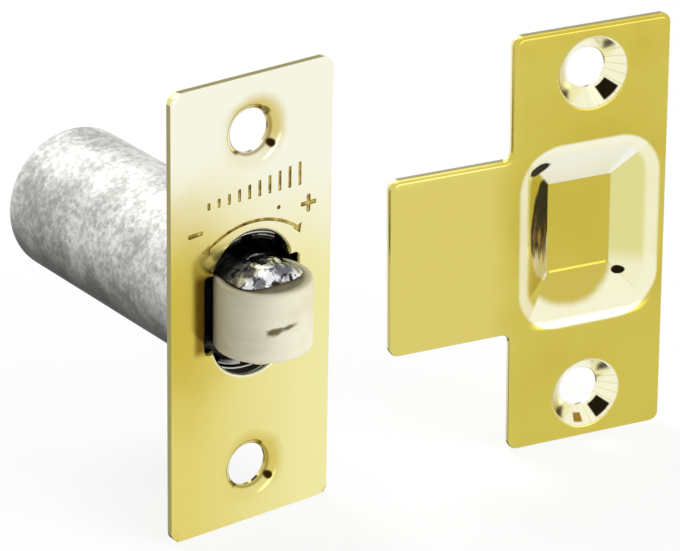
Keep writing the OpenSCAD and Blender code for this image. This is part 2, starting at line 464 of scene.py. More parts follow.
faceplateSizes = {   # mm, the front face at minus the sheet's thickness
    "width": 25.4, "height": 63.5, "sheet": 1.2, "corner": 1.6,
    "holePitch": 47.9, "hole": 6.0, "sink": 8.0, "sinkDepth": 1.05, "lip": 2.0, "lipSpread": 0.9,
    "holeWall": 0.45, "slotWidth": 12.6, "slotEnd": 10.1, "windowWidth": 14.8, "windowHeight": 10.6,
    "windowCorner": 0.4, "edge": 0.13, "windowRoll": 0.5, "outerRoll": 0.34,
}


def windowLoop(sizes, depth):
    # a rectangle beside the roller with a round lobe above and below for the screwdriver
    halfWide, halfHigh = sizes["windowWidth"] / 2, sizes["windowHeight"] / 2
    lobe = sizes["slotWidth"] / 2
    lobeAt = sizes["slotEnd"] - lobe
    meet = math.sqrt(lobe ** 2 - (halfHigh - lobeAt) ** 2)
    reach = math.atan2(meet, halfHigh - lobeAt)
    loopRect(2 * halfWide, 2 * halfHigh, sizes["windowCorner"], depth, 4)

    def onLine(item, side, far):
        # on the new outline's upper or lower line, up to this far from the middle
        points = getattr(item, "verts", [item])
        return not item.link_faces and all(abs(v.co.z - side * halfHigh * mm) < near
            and abs(v.co.y - depth * mm) < near and abs(v.co.x) < far * mm for v in points)

    for side in (1, -1):
        pick("edges", lambda e: onLine(e, side, halfWide))
        bpy.ops.mesh.subdivide(number_cuts=2)
        pick("verts", lambda v: onLine(v, side, halfWide / 2))
        share = meet / ((halfWide - sizes["windowCorner"]) / 3)
        resize((share, 1, 1), metres(0, depth, side * halfHigh))
        pick("edges", lambda e: onLine(e, side, meet + 0.01))
        bpy.ops.mesh.delete(type="EDGE")
        pick("verts", lambda v: v.co.x > 0 and onLine(v, side, meet + 0.01))
        bpy.ops.mesh.spin(steps=32, angle=side * 2 * reach, center=metres(0, depth, side * lobeAt),
            axis=(0, 1, 0), use_auto_merge=False)
    everything()
    bpy.ops.mesh.remove_doubles(threshold=0.004 * mm)


def rolledWindow(sizes, depth, roll):
    # outlines from the face down round the window's edge, each bridged to the next
    steps = 5
    grown = {"slotWidth": 2, "slotEnd": 1, "windowWidth": 2, "windowHeight": 2, "windowCorner": 1}
    reach = (sizes["slotEnd"] + 2 * roll) * mm
    places = []
    for i in range(steps + 1):
        a = math.pi / 2 * i / steps
        grow = roll * (1 - math.sin(a))
        places.append(depth + roll * (1 - math.cos(a)))
        windowLoop({key: sizes[key] + times * grow for key, times in grown.items()}, places[-1])
    for upper, lower in zip(places, places[1:]):
        pick("edges", lambda e: middle(e).xz.length < reach and (onFace(e, upper) or onFace(e, lower)))
        bpy.ops.mesh.bridge_edge_loops()


def faceplateSkin(sizes, name, depth, section, roll=0):
    skin = panel(name, sizes["width"], sizes["height"], depth)
    bpy.ops.mesh.delete(type="VERT")
    loopRect(sizes["width"], sizes["height"], sizes["corner"], depth, 8)
    if roll:
        rolledWindow(sizes, depth, roll)
    else:
        windowLoop(sizes, depth)
    addSinks([(r, y - sizes["sheet"]) for r, y in section], 64, sizes["holePitch"])
    fillFlat(depth)
    done()
    return skin


def rollEdge(thing, width, depth):
    # rounds the sharp outline of a face, as a press leaves it
    take(thing)
    edit()
    pick("edges", lambda e: onFace(e, depth) and len(e.link_faces) == 2 and e.calc_face_angle() > 0.9)
    bpy.ops.mesh.bevel(offset=width * mm, segments=5)
    done()


def makeFaceplate(sizes):
    sheet, half = sizes["sheet"], sizes["holePitch"] / 2
    front = faceplateSkin(sizes, "brassFaceplate", -sheet, sinkSection(sizes), sizes["windowRoll"])
    back = faceplateSkin(sizes, "back", 0, ringSection(sizes))
    plate = joinSkins(front, back, [(half, 6), (-half, 6), (0, 11)])
    rollEdge(plate, sizes["outerRoll"], -sheet)
    soften(plate, sizes["edge"], 3)
    return plate


faceplate = makeFaceplate(faceplateSizes)

marks = {   # mm on the faceplate's front, angles in degrees from the right
    "depth": 0.2, "line": 0.46, "signLine": 0.62, "rounding": 0.28,
    "ticks": 10, "ticksFoot": 14.9, "tickPlaces": (-7.0, 7.4), "tickHeights": (1.0, 3.3),
    "plus": (8.85, 12.05, 2.5), "minus": (-9.1, 11.95, 2.3), "minusLean": 4, "dot": (4.05, 12.6, 0.3),
    "arc": (-0.25, 11.65, 50, 127), "arrow": 0.85,
}


def makeMarks(marks, sheet):
    # shallow grooves: graduation ticks that grow towards the plus, the two signs and the double arrow
    tools = []

    def deep():
        # each cutter goes a hair deeper than the one before, so that no two floors lie in one plane
        return 2 * marks["depth"] * (1 + 0.01 * len(tools))

    def setIn(tool, x, z, angle):
        # turns the cutter in the plate's plane and sets it into the front face
        tool.rotation_euler = (0, -math.radians(angle), 0)
        tool.location = metres(x, -sheet, z)
        tools.append(settle("mark"))

    def bar(x, z, length, width, angle=0):
        tool = block("bar", (length, deep(), width))
        edit()
        bpy.ops.mesh.bevel(offset=marks["rounding"] * width * mm, segments=2)
        done()
        setIn(tool, x, z, angle)

    def stud(x, z, radius, sides, angle=0):
        # a round dot, or with three sides an arrow
        setIn(rod("stud", radius, deep(), sides, turn=upright), x, z, angle)

    for i in range(marks["ticks"]):
        share = i / (marks["ticks"] - 1)
        x, height = [a + (b - a) * share for a, b in (marks["tickPlaces"], marks["tickHeights"])]
        bar(x, marks["ticksFoot"] + height / 2, height, marks["line"], 90)
    bar(*marks["plus"], marks["signLine"])
    bar(*marks["plus"], marks["signLine"], 90)
    bar(*marks["minus"], marks["signLine"], marks["minusLean"])
    stud(*marks["dot"], 20)
    centre, radius, start, end = marks["arc"]
    clearPick()
    bpy.ops.mesh.primitive_plane_add(size=1)   # the groove's section, spun into an arc
    tool = bpy.context.object
    tool.scale = (marks["line"] * mm, deep() * mm, 1)
    tool.location = metres(radius, -sheet, 0)
    tools.append(settle("arc"))
    edit()
    bpy.ops.transform.rotate(value=math.radians(start), orient_axis="Y", center_override=(0, 0, 0))
    bpy.ops.mesh.spin(steps=40, angle=math.radians(end - start), axis=(0, 1, 0))
    everything()
    bpy.ops.transform.translate(value=(centre * mm, 0, 0))
    mend()
    for angle, way in ((start, -1), (end, 1)):
        a = math.radians(angle)
        stud(centre + radius * math.cos(a), radius * math.sin(a), marks["arrow"], 3, angle + way * 90)
    return tools


for tool in makeMarks(marks, faceplateSizes["sheet"]):
    cutAway(faceplate, tool)
smooth(faceplate, 40)
print("faceplate cut and marked")


# brass strike plate: T-shaped sheet with a drawn pocket

strikeSizes = {   # mm, in the strike's own frame: face at 0, middle of the upright plate at the origin
    "width": 23.4, "height": 61.5, "sheet": 1.2, "corner": 1.4,
    "lipWidth": 18.0, "lipHeight": 26.0, "lipRise": 0.2, "lipFillet": 1.3,
    "holePitch": 48.0, "hole": 5.8, "sink": 10.2, "sinkDepth": 2.3, "lip": 0.8, "lipSpread": 0.35,
    "holeWall": 0.45, "pocketWidth": 21.4, "pocketHeight": 27.6, "floorWidth": 9.3, "floorHeight": 13.2,
    "pocketDepth": 3.4, "pocketRise": 0.5, "roll": 2.8, "pocketCorner": 3.8, "floorCorner": 0.6,
    "floorEdge": 0.3, "edge": 0.13, "outerRoll": 0.6,
}
strikePlace = {"gap": 10.0, "drop": 1.8, "turn": 14.0, "lean": 1.5}   # mm and degrees, as in the photo


def pocketLevels(sizes, behind):
    # width, height, corner and depth of each outline from the rolled rim down to the floor
    insetX = (sizes["pocketWidth"] - sizes["floorWidth"]) / 2
    insetZ = (sizes["pocketHeight"] - sizes["floorHeight"]) / 2
    drop = sizes["pocketDepth"] - sizes["roll"]
    wall = math.atan2(drop, insetX) + math.asin(sizes["roll"] / math.hypot(insetX, drop))
    radius, steps = sizes["roll"] - behind, 9
    angles = [wall * i / steps for i in range(steps + 1)]
    levels = [(radius * math.sin(a), sizes["roll"] - radius * math.cos(a)) for a in angles]
    levels.append((insetX - behind * math.tan(wall / 2), sizes["pocketDepth"] + behind))
    made = []
    for inset, depth in levels:
        share = inset / insetX
        made.append((sizes["pocketWidth"] - 2 * inset, sizes["pocketHeight"] - 2 * insetZ * share,
            sizes["pocketCorner"] + (sizes["floorCorner"] - sizes["pocketCorner"]) * share, depth))
    return made


def inPocket(e, sizes, depth):
    # on the pocket's outline at this depth
    return abs(middle(e).y - depth * mm) < near and all(abs(v.co.x) < (sizes["pocketWidth"] / 2 + 0.01) * mm
        and abs(v.co.z - sizes["pocketRise"] * mm) < (sizes["pocketHeight"] / 2 + 0.01) * mm for v in e.verts)


def strikeSkin(sizes, name, depth, section, behind):
    width, height, lipWidth, rise = sizes["width"], sizes["height"], sizes["lipWidth"], sizes["lipRise"]
    left, low, high = -width / 2, rise - sizes["lipHeight"] / 2, rise + sizes["lipHeight"] / 2
    skin = panel(name, width, height, depth)
    for z in (low, high):
        everything()
        bpy.ops.mesh.bisect(plane_co=(0, 0, z * mm), plane_no=(0, 0, 1))
    pick("edges", lambda e: all(abs(v.co.x - left * mm) < near for v in e.verts)
        and abs(middle(e).z - rise * mm) < near)
    extrude((-lipWidth * mm, 0, 0))
    everything()
    bpy.ops.mesh.dissolve_limited(angle_limit=math.radians(1))
    inner = [(left, low), (left, high)]
    outer = [(left - lipWidth, low), (left - lipWidth, high)]
    outer += [(x, z) for x in (left, -left) for z in (height / 2, -height / 2)]
    for spots, corner in ((inner, sizes["lipFillet"]), (outer, sizes["corner"])):
        pick("verts", lambda v: any((v.co.xz - Vector(spot) * mm).length < near for spot in spots))
        roundCorners(corner, 6)
    everything()
    if not behind:   # the face is drawn in and forward by steps of a quarter circle
        roll, steps = sizes["outerRoll"], 5
        bpy.ops.transform.translate(value=(0, roll * mm, 0))
        angles = [math.pi / 2 * i / steps for i in range(steps + 1)]
        for a, b in zip(angles, angles[1:]):
            bpy.ops.mesh.inset(thickness=roll * (math.cos(a) - math.cos(b)) * mm,
                depth=roll * (math.sin(b) - math.sin(a)) * mm)
    bpy.ops.mesh.delete(type="ONLY_FACE")
    levels = pocketLevels(sizes, behind)
    for level in levels:
        loopRect(*level, 12, (0, sizes["pocketRise"]))
    depths = [level[-1] for level in levels]
    for upper, lower in zip(depths, depths[1:]):
        pick("edges", lambda e: inPocket(e, sizes, upper) or inPocket(e, sizes, lower))
        bpy.ops.mesh.bridge_edge_loops()
    pick("edges", lambda e: inPocket(e, sizes, depths[-1]))
    bpy.ops.mesh.edge_face_add()
    addSinks(section, 72, sizes["holePitch"])
    fillFlat(depth)
    if not behind:   # the floor's edge is a small round, not a crease
        pick("edges", lambda e: onFace(e, sizes["pocketDepth"]))
        bpy.ops.mesh.bevel(offset=sizes["floorEdge"] * mm, segments=3)
    done()
    return skin


def strikeMiddle(sizes, place):
    # where the middle of the strike's upright plate stands, in metres
    start = Vector((faceplateSizes["width"] / 2 + place["gap"], -faceplateSizes["sheet"], -place["drop"]))
    along = Vector((sizes["lipWidth"] + sizes["width"] / 2, 0, 0))
    return (start + strikeTurn(place) @ along) * mm


def strikeTurn(place):
    turn = Matrix.Rotation(-math.radians(place["turn"]), 3, "Z")
    return turn @ Matrix.Rotation(-math.radians(place["lean"]), 3, "Y")


def makeStrike(sizes, place):
    sheet, half = sizes["sheet"], sizes["holePitch"] / 2
    front = strikeSkin(sizes, "brassStrike", 0, sinkSection(sizes), 0)
    back = strikeSkin(sizes, "back", sheet, ringSection(sizes), sheet)
    plate = joinSkins(front, back, [(half, 5), (-half, 5)])
    soften(plate, sizes["edge"], 3)
    smooth(plate, 40)
    plate.matrix_world = Matrix.Translation(strikeMiddle(sizes, place)) @ strikeTurn(place).to_4x4()
    take(plate)
    bpy.ops.object.transform_apply()
    return plate


strike = makeStrike(strikeSizes, strikePlace)
print("strike plate drawn")


# zinc-coated case tube, closed at the back and welded to the faceplate at its foot

tubeSizes = {   # mm
    "across": 20.6, "wall": 0.9, "length": 42.5, "endRound": 2.0, "innerRound": 1.1,
    "foot": 0.35, "footThick": 0.8,
}


def makeTube(sizes):
    outer, length, bend = sizes["across"] / 2, sizes["length"], sizes["endRound"]
    bore, floor, inner = outer - sizes["wall"], length - sizes["wall"], sizes["innerRound"]
    foot, thick = sizes["foot"], sizes["footThick"]
    section = [(bore, 0.0), (outer + foot, 0.0), (outer + foot, thick * 0.6), (outer + foot * 0.6, thick),
        (outer, thick + 0.15)]
    section += [(outer, 2 + (length - bend - 2) * i / 12) for i in range(12)]
    section += arc((outer - bend, length - bend), bend, 0, 90, 8)
    section += [(0.5 * (outer - bend), length), (0, length), (0, floor), (bore - inner, floor)]
    section += arc((bore - inner, floor - inner), inner, 90, 0, 5)[1:]
    tube = turnOnLathe("caseTube", section, ring=True)
    smooth(tube, 35)
    return tube


tube = makeTube(tubeSizes)


# nylon roller

rollerSizes = {"across": 13.0, "height": 9.6, "rim": 0.45, "bore": 3.1, "at": -3.5, "dish": 0.12}   # mm


def makeRoller(sizes):
    half, radius, rim = sizes["height"] / 2, sizes["across"] / 2, sizes["rim"]
    bore, dish = sizes["bore"] / 2, sizes["dish"]
    lower = [(bore, -half + 0.25), (bore + 0.25, -half), (radius * 0.45, -half), (radius * 0.5, -half + dish),
        (radius * 0.78, -half + dish), (radius * 0.83, -half)]
    lower += arc((radius - rim, -half + rim), rim, -90, 0, 6)
    upper = [(r, -z) for r, z in reversed(lower)]
    section = lower + [(radius, half * share) for share in (-0.6, -0.2, 0.2, 0.6)] + upper
    roller = turnOnLathe("nylonRoller", section, "Z", (0, sizes["at"], 0), ring=True)
    smooth(roller, 35)
    return roller


roller = makeRoller(rollerSizes)


# axle pin with its two riveted heads

pinSizes = {"across": 3.0, "seat": 6.7, "head": 4.4, "headHeight": 0.4}   # mm


def makePin(sizes):
    radius, head, seat, high = sizes["across"] / 2, sizes["head"] / 2, sizes["seat"], sizes["headHeight"]
    dome = [(1, 0), (1, 0.3), (0.94, 0.55), (0.82, 0.8), (0.62, 0.95), (0.3, 1), (0, 1)]
    upper = [(radius, seat)] + [(head * across, seat + high * up) for across, up in dome]
    lower = [(r, -z) for r, z in reversed(upper)]
    pin = turnOnLathe("axlePin", lower + upper, "Z", (0, rollerSizes["at"], 0), 64)
    smooth(pin, 40)
    return pin


pin = makePin(pinSizes)


# roller fork: round threaded bar with a blunt nose, slotted for the roller

forkSizes = {   # mm
    "across": 14.0, "nose": -7.1, "noseRound": 2.4, "slot": 9.9, "slotFloor": 3.5, "end": 12.8,
    "threadFrom": 0.4, "pitch": 1.5, "threadDepth": 0.42,
}


def makeFork(sizes):
    radius, nose, bend = sizes["across"] / 2, sizes["nose"], sizes["noseRound"]
    section = [(0, nose), (0.5 * (radius - bend), nose)] + arc((radius - bend, nose + bend), bend, -90, 0, 16)
    place = sizes["threadFrom"]
    root = radius - sizes["threadDepth"]
    while place < sizes["end"] - sizes["pitch"]:   # rounded crests and roots of the thread
        section += [(radius, place), (root + 0.06, place + 0.42), (root, place + 0.6),
            (root + 0.06, place + 0.78), (radius - 0.04, place + 1.16), (radius, place + 1.3)]
        place += sizes["pitch"]
    section += [(radius, sizes["end"] - 0.5), (radius - 0.5, sizes["end"]), (0, sizes["end"])]
    fork = turnOnLathe("rollerFork", section)
    depth = sizes["slotFloor"] - nose + 1
    spot = (0, sizes["slotFloor"] - depth / 2, 0)
    cutAway(fork, block("slotCutter", (2.4 * radius, depth, sizes["slot"]), spot))
    for side in (1, -1):   # flats under the riveted heads
        spot = (0, rollerSizes["at"], side * (pinSizes["seat"] + 1))
        cutAway(fork, rod("flatCutter", pinSizes["head"] / 2, 2, 64, spot))
    cutAway(fork, rod("pinCutter", pinSizes["across"] / 2, 20, 48, (0, rollerSizes["at"], 0)))
    soften(fork, 0.12, 2)
    smooth(fork, 35)
    return fork


fork = makeFork(forkSizes)


# adjusting sleeve: threaded ring with notches for a screwdriver's tip

sleeveSizes = {   # mm
    "across": 18.4, "front": 0.25, "back": 14.75, "mouth": 16.56, "mouthFloor": 4.9, "bore": 14.16,
    "notches": 10, "notchWidth": 1.8, "notchDepth": 1.4, "threadDepth": 0.38, "pitch": 1.5,
}


def makeSleeve(sizes):
    outer, front, back = sizes["across"] / 2, sizes["front"], sizes["back"]
    mouth, floor, bore = sizes["mouth"] / 2, sizes["mouthFloor"], sizes["bore"] / 2
    root = bore + sizes["threadDepth"]
    section = [(outer - 0.15, front), (outer, front + 0.15), (outer, 0.5 * (front + back)),
        (outer, back - 0.3), (outer - 0.3, back), (bore + 0.3, back), (bore, back - 0.3)]
    place = back - 1.2
    while place > floor + 1.2:   # thread in the bore
        section += [(bore, place), (root, place - 0.42), (root, place - 0.6), (bore, place - 1.0)]
        place -= sizes["pitch"]
    section += [(bore, floor + 0.3), (bore + 0.3, floor), (mouth, floor), (mouth, front + 0.2),
        (mouth + 0.2, front)]
    sleeve = turnOnLathe("adjustingSleeve", section, around=120, ring=True)
    bars = []
    for i in range(sizes["notches"]):
        bar = block("notch", (sizes["notchWidth"], 2 * sizes["notchDepth"], 4), (0, front, outer))
        bar.rotation_euler = (0, 2 * math.pi * i / sizes["notches"], 0)
        bars.append(settle("notch"))
    take(bars[0])
    for bar in bars:
        bar.select_set(True)
    bpy.ops.object.join()
    cutAway(sleeve, bars[0])
    soften(sleeve, 0.1, 1)
    smooth(sleeve, 35)
    return sleeve


sleeve = makeSleeve(sleeveSizes)
print("turned parts made")


# return spring: a coil with closed ends, wound at one length; the real one shortens as the roller is pressed
# in

springSizes = {   # mm
    "across": 14.6, "wire": 1.3, "from": 16.95, "to": 40.9, "turns": 7, "endRise": 1.36, "around": 24,
    "foot": 41.6, "travel": 8.62,
}


def makeSpring(sizes):
    radius, wire = sizes["across"] / 2, sizes["wire"] / 2
    openRise = (sizes["to"] - sizes["from"] - 2 * sizes["endRise"]) / sizes["turns"]
    clearPick()
    bpy.ops.mesh.primitive_circle_add(vertices=10, radius=wire * mm, fill_type="NGON",
        location=metres(radius, sizes["from"], 0))
    spring = settle("returnSpring")
    edit()
    turnBy = 2 * math.pi / sizes["around"]
    for turn in range(sizes["turns"] + 2):
        rise = sizes["endRise"] if turn in (0, sizes["turns"] + 1) else openRise
        for step in range(sizes["around"]):
            extrude((0, rise / sizes["around"] * mm, 0))
            bpy.ops.transform.rotate(value=turnBy, orient_axis="Y", center_override=(0, 0, 0))
    mend()
    smooth(spring, 50)
    return spring


spring = makeSpring(springSizes)
print("spring wound")


# finishes

def away(u, w, spot=(0, 0), size=(1, 1)):
    # distance from a spot, counted in its own sizes
    return (((u - spot[0]) / size[0]) ** 2.0 + ((w - spot[1]) / size[1]) ** 2.0) ** 0.5


def pastBox(u, w, width, height, corner):
    # distance outside a round-cornered outline, negative inside it
    du = abs(u) - (width / 2 - corner)
    dw = abs(w) - (height / 2 - corner)
    out = away(du.maths("MAXIMUM", 0.0), dw.maths("MAXIMUM", 0.0))
    return out + du.maths("MAXIMUM", dw).maths("MINIMUM", 0.0) - corner


def fromHole(z, sizes):
    # height over the nearer screw hole, counted away from the plate's middle
    return (abs(z) - sizes["holePitch"] / 2) * z.maths("SIGN")


def darker(tone, share):
    return [share * c for c in tone]


# painted shade, near black, for the tube's inside and for the fork where it runs in the case
insideShade = (0.012, 0.011, 0.01)   # on the tube's inside and the fork's shank
# most of these colours paint light: a paler sheen up and to the right, a darker reflection on the left, a
# shadow and a highlight at the window, and reflections and shade round the screw holes
faceBrass = {   # colours, then places in mm on the plate; a fade grows from its first value to its second
    "left": (0.80, 0.68, 0.18), "right": (0.92, 0.86, 0.40), "pale": (0.98, 0.97, 0.80),
    "deep": (0.62, 0.47, 0.05), "dimpleReflection": (0.68, 0.54, 0.10), "shadow": (0.20, 0.11, 0.01),
    "darkReflection": (0.03, 0.015, 0.002), "edge": (0.86, 0.78, 0.32), "rough": 0.10,
    "paleSheenFade": (1.0, 22.0), "deepAt": ((-11.0, 0.0), (1, 1.7)), "deepFade": (12.0, 1.5),
    "dimple": 3.2, "dimpleReflectionFade": (5.9, 3.6), "darkSpotAt": (3.0, -2.2),
}
# the pocket's and countersinks' colours are painted reflections, highlights and shade
strikeBrass = {   # the same on the strike; in the pocket, places count from its middle
    "tone": (0.66, 0.55, 0.095), "lip": (0.74, 0.635, 0.165), "deep": (0.56, 0.435, 0.045),
    "edge": (0.96, 0.92, 0.60), "cream": (0.98, 0.95, 0.69), "white": (0.99, 0.985, 0.90),
    "wall": (0.78, 0.74, 0.30), "gold": (0.64, 0.52, 0.10), "brown": (0.38, 0.21, 0.03),
    "darkReflection": (0.015, 0.01, 0.004), "rough": 0.12, "lipSheenFade": (-10, -16),
    "rimCorner": 6.5, "rimFade": (-2.3, -1.5), "bowlAt": (-1.8, -3.3), "bowlFade": (6.9, 8.3),
    "lens": ((-5.0, 0.6), (3.5, 8.0)), "upperPatch": ((-7.2, 10.2), (1.8, 0.95)),
    "lowerPatch": ((5.8, -7.7), (1.0, 0.65)), "cone": 5.0, "bore": 3.0, "lines": 22,
    "spotAt": -0.87, "lowSpotAt": -1.75,   # radians round the hole
}


def brassRelief(shader):
    skin = shader.clouds(900, 2, 0.5)
    hair = shader.streaks((3200, 3200, 160), 2, 0.6)
    return shader.relief(skin * 0.6 + hair * 0.4, 0.000006, 0.5)


def faceFinish(name, look, sizes):
    shader = newFinish(name)
    x, y, z = shader.parts()
    cloud = shader.clouds(60, 3, 0.5, 0.6)
    patch = shader.clouds(260, 4, 0.6)
    drift = cloud - 0.5
    flaw = patch - 0.5
    # painted shadow in brown beside the window's rolled left edge, a painted highlight in white on its lower
    # one
    shadow = x.smooth(-9.7, -8.6) * x.smooth(-6.5, -6.9) * abs(z - 0.3).smooth(6.2, 4.7)
    lobe = away(x, z, (0, -(sizes["slotEnd"] - sizes["slotWidth"] / 2)))
    lowRimHighlight = z.smooth(-4.6, -5.6) * (lobe - sizes["slotWidth"] / 2).smooth(0.55, 0.15)
    # the dimples round the screw holes: a painted reflection as a golden ring above and on the right, a
    # painted shade line round the dimple's edge, and a painted dark reflection as a black spot below on the
    # right
    rise = fromHole(z, sizes)
    ring = away(x, rise)
    lit = 0.25 + 0.75 * (rise * 0.8 + x * 0.6).smooth(-2.2, 2.0)
    dimpleReflection = (ring + 1.6 * flaw).smooth(*look["dimpleReflectionFade"]) * lit
    side = pastBox(x, z, sizes["width"], sizes["height"], sizes["corner"]).smooth(-0.3, -0.1)
    # the base brass, then painted light: lighter to the right, a pale painted sheen towards the top, a darker
    # painted reflection on the left, the window's painted shadow and highlight, the dimples' painted
    # reflections and shade, and the sheet's sides in a tone of their own
    colour = shader.layers(look["left"],
        ((x + 5 * drift).smooth(-12, 12), look["right"]),
        ((z + 0.35 * x + 12 * drift).smooth(*look["paleSheenFade"]), look["pale"]),
        ((away(x, z, *look["deepAt"]) + 4 * flaw).smooth(*look["deepFade"]) * 0.8, look["deep"]),
        (shadow * 0.92, look["shadow"]),
        (lowRimHighlight * 0.9, look["pale"]),
        (dimpleReflection * 0.85, look["dimpleReflection"]),
        (abs(ring - look["dimple"]).smooth(0.3, 0.05) * 0.6, look["shadow"]),
        (away(x, rise, look["darkSpotAt"]).smooth(0.75, 0.4), look["darkReflection"]),
        (y.smooth(-0.95, -0.75) * side, look["edge"]))
    return shader.close(colour, look["rough"] + 0.05 * patch + 0.03 * cloud, brassRelief(shader))


def strikeFinish(name, look, sizes, place):
    shader = newFinish(name)
    turn = (0, -math.radians(place["lean"]), -math.radians(place["turn"]))
    u, depth, w = shader.parts(Location=strikeMiddle(sizes, place), Rotation=turn)
    cloud = shader.clouds(60, 3, 0.5, 0.6)
    patch = shader.clouds(260, 4, 0.6)
    flaw = patch - 0.5
    # the pocket, in painted reflections and shade: a cream painted highlight on the rolled rim, a white top
    # wall, a pale right wall, and a brown left wall with two black patches of painted dark reflection
    v = w - sizes["pocketRise"]
    rim = pastBox(u, v, sizes["pocketWidth"], sizes["pocketHeight"], look["rimCorner"])
    inside = rim.smooth(0.1, -0.5)
    sideways = (abs(u) - sizes["floorWidth"] / 2) / (sizes["pocketWidth"] - sizes["floorWidth"]) * 2
    upwards = (abs(v) - sizes["floorHeight"] / 2) / (sizes["pocketHeight"] - sizes["floorHeight"]) * 2
    wall = inside * sideways.maths("MAXIMUM", upwards).smooth(0.0, 0.04)
    endWall = (upwards - sideways).smooth(-0.05, 0.05)
    top = wall * endWall * v.smooth(-1, 1)
    bottom = wall * endWall * v.smooth(1, -1)
    right = wall * (1 - endWall) * u.smooth(-1, 1)
    left = wall * (1 - endWall) * u.smooth(1, -1)
    bowl = (away(u, v, look["bowlAt"]) + 0.8 * flaw).smooth(*look["bowlFade"])
    streak = shader.streaks((1400, 1400, 130), 3, 0.7)
    lens = (away(u, v, *look["lens"]) + 0.25 * (streak - 0.5)).smooth(1.02, 0.92)
    leftWallReflection = shader.layers(look["darkReflection"],
        ((streak - 0.025 * v).smooth(0.46, 0.66), look["brown"]),
        ((v + 12 * (streak - 0.5)).smooth(-2.0, -4.5) * 0.8, look["cream"]))
    slant = v - 0.25 * (u - look["upperPatch"][0][0])
    upperPatch = (away(u, slant, *look["upperPatch"]) + 0.9 * flaw).smooth(1.0, 0.75)
    lowerPatch = (away(u, v, *look["lowerPatch"]) + 0.6 * flaw).smooth(1.0, 0.8)
    # the countersinks: painted highlights as cream cones with fine radial lines, a painted dark reflection as
    # a black spot on the right, and painted brown shade below and round each bore
    rise = fromHole(w, sizes)
    ring = away(u, rise)
    around = rise.maths("ARCTAN2", u)
    lines = (around * look["lines"]).maths("SINE").smooth(0.75, 1.0)
    lines = lines * around.smooth(-1.9, -1.2) * around.smooth(1.2, 0.6)
    cone = ring.smooth(look["cone"] + 0.3, look["cone"])
    spot = abs(around - look["spotAt"]).smooth(0.32, 0.26) * ring.smooth(3.15, 3.3) * ring.smooth(4.9, 4.7)
    lowSpot = abs(around - look["lowSpotAt"]).smooth(0.18, 0.12) * (1 - w.maths("SIGN")) * 0.5
    lowSpot = lowSpot * ring.smooth(3.6, 3.8) * ring.smooth(4.8, 4.6)
    # random darker tones, then painted light: a lighter painted sheen over the lip, the pocket's painted
    # reflections and shade, the countersinks' painted highlights and dark reflections, painted shade in each
    # bore, and a pale tone on the sheet's sides
    colour = shader.layers(look["tone"],
        (cloud.smooth(0.35, 0.75) * 0.6, look["deep"]),
        ((u + 4 * (cloud - 0.5)).smooth(*look["lipSheenFade"]), look["lip"]),
        (top, look["white"]),
        (right, look["wall"]),
        (bottom, shader.blend(bowl, look["gold"], look["cream"])),
        (right * v.smooth(-4, -7.5) * 0.8, look["cream"]),
        (inside * rim.smooth(*look["rimFade"]) * (0.75 + 0.5 * flaw), look["cream"]),
        (left * lens, leftWallReflection),
        (upperPatch, look["darkReflection"]),
        (lowerPatch, look["darkReflection"]),
        (cone * (1 - 0.35 * lines), look["cream"]),
        (cone * (u + 1.5 * flaw).smooth(-2.6, -4.2) * 0.8, look["gold"]),
        (ring.smooth(look["bore"], look["bore"] - 0.08) * rise.smooth(-0.5, 1.5), look["brown"]),
        (spot, look["darkReflection"]),
        (lowSpot, look["brown"]),
        (depth.smooth(0.55, 0.75) * (1 - inside) * (1 - cone), look["edge"]))
    rough = look["rough"] + 0.06 * patch + 0.04 * cloud + 0.15 * top
    return shader.close(colour, rough, brassRelief(shader))


def grooveFinish(name):
    shader = newFinish(name)
    # the grooves are dark brown, in mottled patches
    grooveMottle = shader.clouds(900, 3, 0.6)
    colour = shader.blend(grooveMottle.smooth(0.35, 0.65), (0.27, 0.18, 0.03), (0.66, 0.54, 0.15))
    return shader.close(colour, 0.3 + 0.2 * grooveMottle)


def plainBrass(name, tone, rough):
    shader = newFinish(name)
    patch = shader.clouds(260, 4, 0.6)
    colour = shader.blend(patch.smooth(0.3, 0.7), tone, darker(tone, 0.85))
    return shader.close(colour, rough + 0.08 * patch, brassRelief(shader))


def paint(thing, finish, test):
    # gives the faces that pass the test a finish of their own
    thing.data.materials.append(finish)
    take(thing)
    edit()
    pick("faces", test)
    thing.active_material_index = len(thing.data.materials) - 1
    bpy.ops.object.material_slot_assign()
    done()


def isGroove(f):
    # walls and floors of the stamped marks, between the window and the upper screw hole
    sheet = faceplateSizes["sheet"]
    return (max(v.co.y for v in f.verts) > (0.02 - sheet) * mm and middle(f).y < (0.3 - sheet) * mm
        and middle(f).xz.length > 10.9 * mm and 7.5 * mm < middle(f).z < 18.5 * mm)


zincLook = {
    "grey": (0.40, 0.405, 0.375), "pale": (0.86, 0.86, 0.83), "under": (0.09, 0.09, 0.085),
    "rim": (0.75, 0.74, 0.7), "underFade": (5, -8),
}


